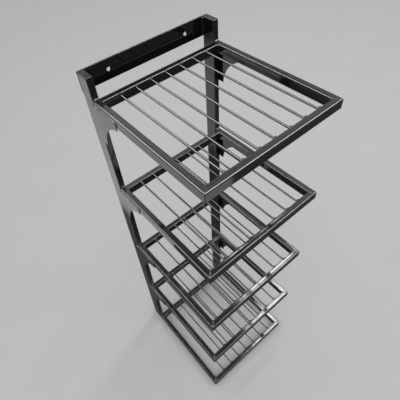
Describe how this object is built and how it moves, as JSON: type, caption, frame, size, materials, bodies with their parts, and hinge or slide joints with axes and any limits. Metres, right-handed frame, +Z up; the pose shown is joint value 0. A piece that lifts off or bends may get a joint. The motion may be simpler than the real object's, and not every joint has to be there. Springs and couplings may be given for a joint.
{
  "type": "tiered storage rack",
  "caption": "Tall welded rack: rear tube uprights carry square shelf frames with rod decks, braced by curved gussets; a drilled plate across the top fixes it to a wall.",
  "frame": {"origin": "on the ground, under the middle of the overall width and depth", "axes": "+X to the right seen from the front, +Y to the rear (the wall side), +Z up; the open front faces -Y"},
  "size_m": [0.454, 0.499, 1.475],
  "materials": {
    "frame_enamel": "gloss black enamel over steel tube and plate",
    "rod_enamel": "gloss black enamel over round rod",
    "weld_enamel": "gloss black enamel over weld metal"
  },
  "bodies": {
    "root": {"back_plate": "frame_enamel", "plate_welds": "weld_enamel", "upright_left": "frame_enamel", "upright_cap_left": "frame_enamel", "gusset_welds_left": "weld_enamel", "gusset_1_left": "frame_enamel", "gusset_2_left": "frame_enamel", "gusset_3_left": "frame_enamel", "gusset_4_left": "frame_enamel", "upright_right": "frame_enamel", "upright_cap_right": "frame_enamel", "gusset_welds_right": "weld_enamel", "gusset_1_right": "frame_enamel", "gusset_2_right": "frame_enamel", "gusset_3_right": "frame_enamel", "gusset_4_right": "frame_enamel", "shelf_1_front_rail": "frame_enamel", "shelf_1_rear_rail": "frame_enamel", "shelf_1_left_rail": "frame_enamel", "shelf_1_right_rail": "frame_enamel", "shelf_1_rods": "rod_enamel", "shelf_1_corner_welds": "weld_enamel", "shelf_1_rod_welds": "weld_enamel", "shelf_1_upright_welds": "weld_enamel", "shelf_2_front_rail": "frame_enamel", "shelf_2_rear_rail": "frame_enamel", "shelf_2_left_rail": "frame_enamel", "shelf_2_right_rail": "frame_enamel", "shelf_2_rods": "rod_enamel", "shelf_2_corner_welds": "weld_enamel", "shelf_2_rod_welds": "weld_enamel", "shelf_2_upright_welds": "weld_enamel", "shelf_3_front_rail": "frame_enamel", "shelf_3_rear_rail": "frame_enamel", "shelf_3_left_rail": "frame_enamel", "shelf_3_right_rail": "frame_enamel", "shelf_3_rods": "rod_enamel", "shelf_3_corner_welds": "weld_enamel", "shelf_3_rod_welds": "weld_enamel", "shelf_3_upright_welds": "weld_enamel", "shelf_4_front_rail": "frame_enamel", "shelf_4_rear_rail": "frame_enamel", "shelf_4_left_rail": "frame_enamel", "shelf_4_right_rail": "frame_enamel", "shelf_4_rods": "rod_enamel", "shelf_4_corner_welds": "weld_enamel", "shelf_4_rod_welds": "weld_enamel", "shelf_4_upright_welds": "weld_enamel", "shelf_5_front_rail": "frame_enamel", "shelf_5_rear_rail": "frame_enamel", "shelf_5_left_rail": "frame_enamel", "shelf_5_right_rail": "frame_enamel", "shelf_5_rods": "rod_enamel", "shelf_5_corner_welds": "weld_enamel", "shelf_5_rod_welds": "weld_enamel", "shelf_5_upright_welds": "weld_enamel"}
  },
  "joints": []
}
